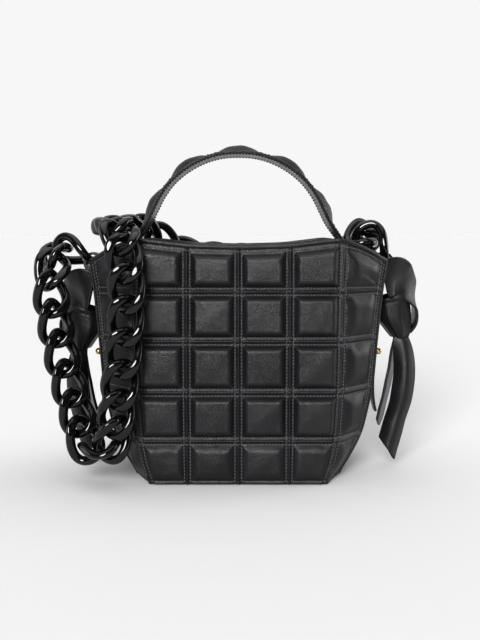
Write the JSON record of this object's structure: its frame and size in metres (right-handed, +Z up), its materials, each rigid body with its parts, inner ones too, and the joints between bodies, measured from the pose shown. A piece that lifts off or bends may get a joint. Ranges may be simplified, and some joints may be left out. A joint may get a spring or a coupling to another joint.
{
  "type": "bucket bag",
  "caption": "Small soft-sided bucket bag with a quilted body, padded top handle, tied side straps with loose tails and a chunky curb chain hung from folded tabs.",
  "frame": {"origin": "centre of the base, on the floor the bag stands on", "axes": "+Z up, front of the bag towards -Y, side straps and chain tabs at +X and -X"},
  "size_m": [0.2845, 0.1473, 0.2418],
  "materials": {
    "body_leather": "smooth black nappa with a soft satin sheen",
    "handle_leather": "smooth black nappa with a soft satin sheen",
    "strap_leather": "smooth black strap leather, satin",
    "base_leather": "satin black",
    "facing_leather": "satin black",
    "lining": "black woven textile",
    "foam": "pale soft padding",
    "board": "matte fibreboard",
    "snap_metal": "polished gold tone",
    "stud_brass": "polished gold tone",
    "chain_resin": "glossy black resin"
  },
  "bodies": {
    "bag": {"front_panel": "body_leather", "back_panel": "body_leather", "gusset_right": "body_leather", "gusset_left": "body_leather", "base_panel": "base_leather", "base_board": "board", "quilt_pads": "foam", "lining": "lining", "rim_facing": "facing_leather", "snap_socket": "snap_metal", "snap_stud": "snap_metal", "handle_feet": "strap_leather", "knot_loop_right": "strap_leather", "knot_wrap_right": "strap_leather", "chain_tab_right": "strap_leather", "knot_loop_left": "strap_leather", "knot_wrap_left": "strap_leather", "chain_tab_left": "strap_leather", "tab_studs": "stud_brass", "chain_link_01": "chain_resin", "chain_link_02": "chain_resin", "chain_link_17": "chain_resin", "chain_link_18": "chain_resin", "chain_link_19": "chain_resin", "chain_link_20": "chain_resin", "chain_link_21": "chain_resin", "chain_link_22": "chain_resin", "chain_link_23": "chain_resin", "chain_link_32": "chain_resin", "chain_link_33": "chain_resin", "chain_link_34": "chain_resin"},
    "handle": {"handle_cover": "handle_leather", "handle_lining": "strap_leather", "handle_pads": "foam"},
    "chain_loop": {"chain_link_03": "chain_resin", "chain_link_04": "chain_resin", "chain_link_05": "chain_resin", "chain_link_06": "chain_resin", "chain_link_07": "chain_resin", "chain_link_08": "chain_resin", "chain_link_09": "chain_resin", "chain_link_10": "chain_resin", "chain_link_11": "chain_resin", "chain_link_12": "chain_resin", "chain_link_13": "chain_resin", "chain_link_14": "chain_resin", "chain_link_15": "chain_resin", "chain_link_16": "chain_resin"},
    "chain_swag": {"chain_link_24": "chain_resin", "chain_link_25": "chain_resin", "chain_link_26": "chain_resin", "chain_link_27": "chain_resin", "chain_link_28": "chain_resin", "chain_link_29": "chain_resin", "chain_link_30": "chain_resin", "chain_link_31": "chain_resin"},
    "tail_front_right": {"tail_front_right": "strap_leather"},
    "tail_back_right": {"tail_back_right": "strap_leather"},
    "tail_front_left": {"tail_front_left": "strap_leather"},
    "tail_back_left": {"tail_back_left": "strap_leather"}
  },
  "joints": [
    {"name": "handle_tilt", "type": "hinge", "parent": "bag", "child": "handle", "pos_m": [0, 0, 0.172], "axis": [1, 0, 0], "range_deg": [-9, 9]},
    {"name": "chain_loop_swing", "type": "hinge", "parent": "bag", "child": "chain_loop", "pos_m": [-0.08286, -0.06267, 0.14528], "axis": [-0.7297, 0.6309, 0.2637], "range_deg": [-3, 22]},
    {"name": "chain_swag_swing", "type": "hinge", "parent": "bag", "child": "chain_swag", "pos_m": [-0.07016, 0.05578, 0.17992], "axis": [0.9955, -0.0917, -0.0251], "range_deg": [0, 10]},
    {"name": "tail_front_right_swing", "type": "hinge", "parent": "bag", "child": "tail_front_right", "pos_m": [0.1214, 0, 0.098], "axis": [0, -1, 0], "range_deg": [-4, 20]},
    {"name": "tail_back_right_swing", "type": "hinge", "parent": "bag", "child": "tail_back_right", "pos_m": [0.1194, 0, 0.098], "axis": [0, -1, 0], "range_deg": [-1, 25]},
    {"name": "tail_front_left_swing", "type": "hinge", "parent": "bag", "child": "tail_front_left", "pos_m": [-0.1214, 0, 0.0895], "axis": [0, 1, 0], "range_deg": [-4, 20]},
    {"name": "tail_back_left_swing", "type": "hinge", "parent": "bag", "child": "tail_back_left", "pos_m": [-0.1194, 0, 0.0895], "axis": [0, 1, 0], "range_deg": [-1, 25]}
  ]
}
